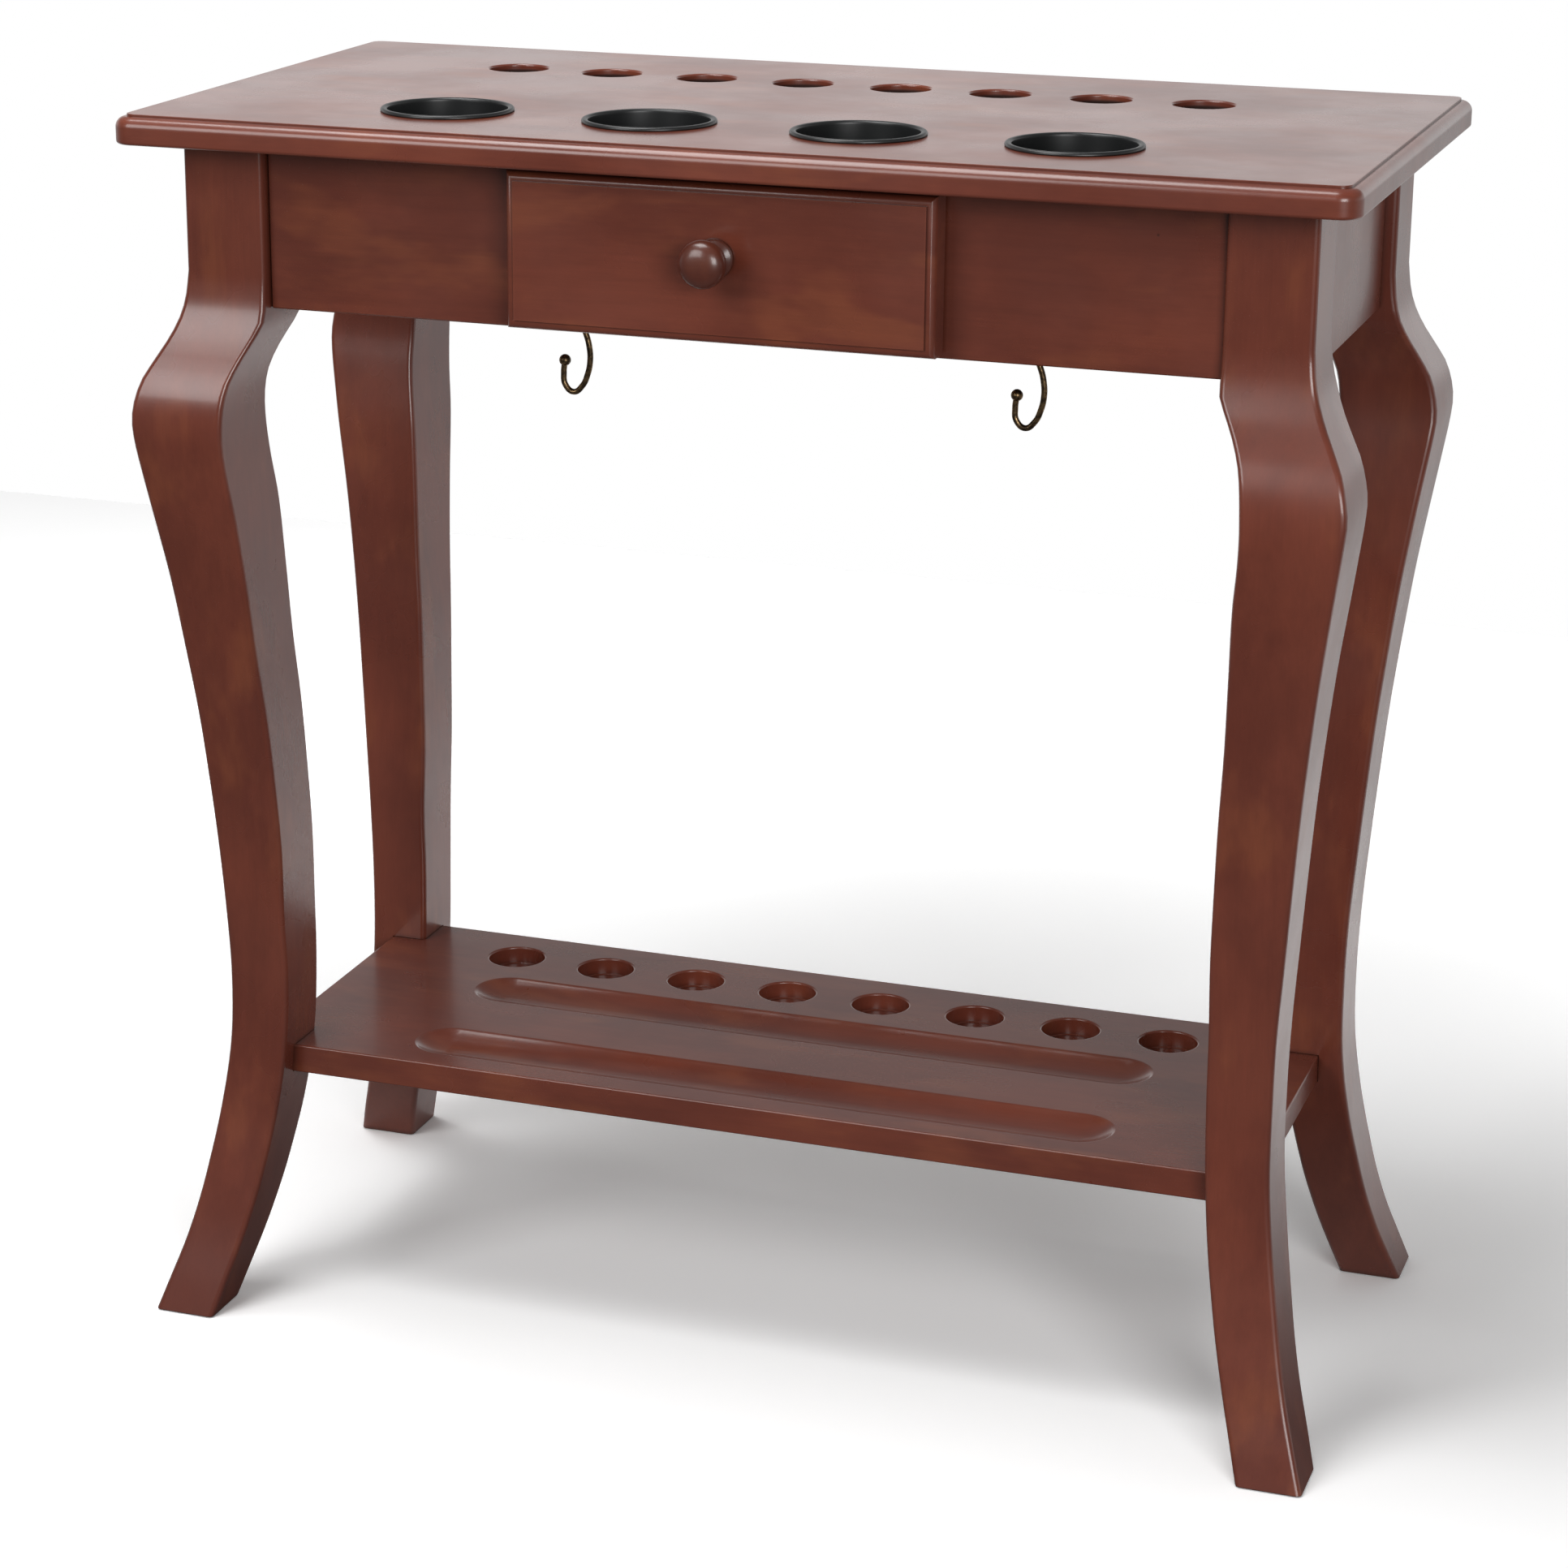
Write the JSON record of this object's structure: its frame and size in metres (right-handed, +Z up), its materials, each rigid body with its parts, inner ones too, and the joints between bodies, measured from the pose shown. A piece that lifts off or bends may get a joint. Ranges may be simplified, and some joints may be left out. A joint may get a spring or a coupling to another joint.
{
  "type": "billiard cue stand",
  "caption": "Free-standing billiard cue stand: a table on curved legs with cue holes, drop-in cups and a drawer above, hooks below, and a lower shelf with cue sockets and ball troughs.",
  "frame": {"origin": "on the floor under the middle of the overall width and depth", "axes": "+X to the right seen from the front, -Y toward the front with the drawer, +Z up"},
  "size_m": [0.8492, 0.4302, 0.8775],
  "materials": {
    "stained_wood": "dark red-brown stain under satin lacquer",
    "knob_wood": "darker stain under gloss lacquer",
    "pale_wood": "unstained, sealed",
    "fastener_steel": "zinc plated",
    "bumper_rubber": "dark, matt",
    "hook_brass": "antique, darkened",
    "glide_plastic": "hard moulded plastic",
    "cup_plastic": "black, satin"
  },
  "bodies": {
    "stand": {"tabletop": "stained_wood", "leg_front_left": "stained_wood", "leg_front_right": "stained_wood", "leg_back_right": "stained_wood", "leg_back_left": "stained_wood", "apron_front": "stained_wood", "apron_back": "stained_wood", "apron_left": "stained_wood", "apron_right": "stained_wood", "hook_rail": "stained_wood", "shelf": "stained_wood", "corner_block_front_left": "pale_wood", "corner_block_front_right": "pale_wood", "corner_block_back_right": "pale_wood", "corner_block_back_left": "pale_wood", "shelf_dowel_front_left": "pale_wood", "shelf_dowel_front_right": "pale_wood", "shelf_dowel_back_right": "pale_wood", "shelf_dowel_back_left": "pale_wood", "drawer_runner_left": "pale_wood", "drawer_runner_right": "pale_wood", "corner_bolt_front_left": "fastener_steel", "corner_bolt_front_right": "fastener_steel", "corner_bolt_back_right": "fastener_steel", "corner_bolt_back_left": "fastener_steel", "top_screw_front_left": "fastener_steel", "top_screw_front_right": "fastener_steel", "top_screw_back_right": "fastener_steel", "top_screw_back_left": "fastener_steel", "hook_left": "hook_brass", "hook_right": "hook_brass", "foot_glide_front_left": "glide_plastic", "foot_glide_front_right": "glide_plastic", "foot_glide_back_right": "glide_plastic", "foot_glide_back_left": "glide_plastic"},
    "drawer": {"drawer_front": "stained_wood", "drawer_knob": "knob_wood", "drawer_side_left": "pale_wood", "drawer_side_right": "pale_wood", "drawer_box_front": "pale_wood", "drawer_back": "pale_wood", "drawer_bottom": "pale_wood", "front_screw_left": "fastener_steel", "front_screw_right": "fastener_steel", "knob_screw": "fastener_steel", "drawer_bumper_left": "bumper_rubber", "drawer_bumper_right": "bumper_rubber"},
    "cup_1": {"cup_liner_1": "cup_plastic"},
    "cup_2": {"cup_liner_2": "cup_plastic"},
    "cup_3": {"cup_liner_3": "cup_plastic"},
    "cup_4": {"cup_liner_4": "cup_plastic"}
  },
  "joints": [
    {"name": "drawer_slide", "type": "slide", "parent": "stand", "child": "drawer", "axis": [0, -1, 0], "range_m": [0, 0.2]},
    {"name": "cup_1_lift", "type": "slide", "parent": "stand", "child": "cup_1", "axis": [0, 0, 1], "range_m": [0, 0.06]},
    {"name": "cup_2_lift", "type": "slide", "parent": "stand", "child": "cup_2", "axis": [0, 0, 1], "range_m": [0, 0.06]},
    {"name": "cup_3_lift", "type": "slide", "parent": "stand", "child": "cup_3", "axis": [0, 0, 1], "range_m": [0, 0.06]},
    {"name": "cup_4_lift", "type": "slide", "parent": "stand", "child": "cup_4", "axis": [0, 0, 1], "range_m": [0, 0.06]}
  ]
}
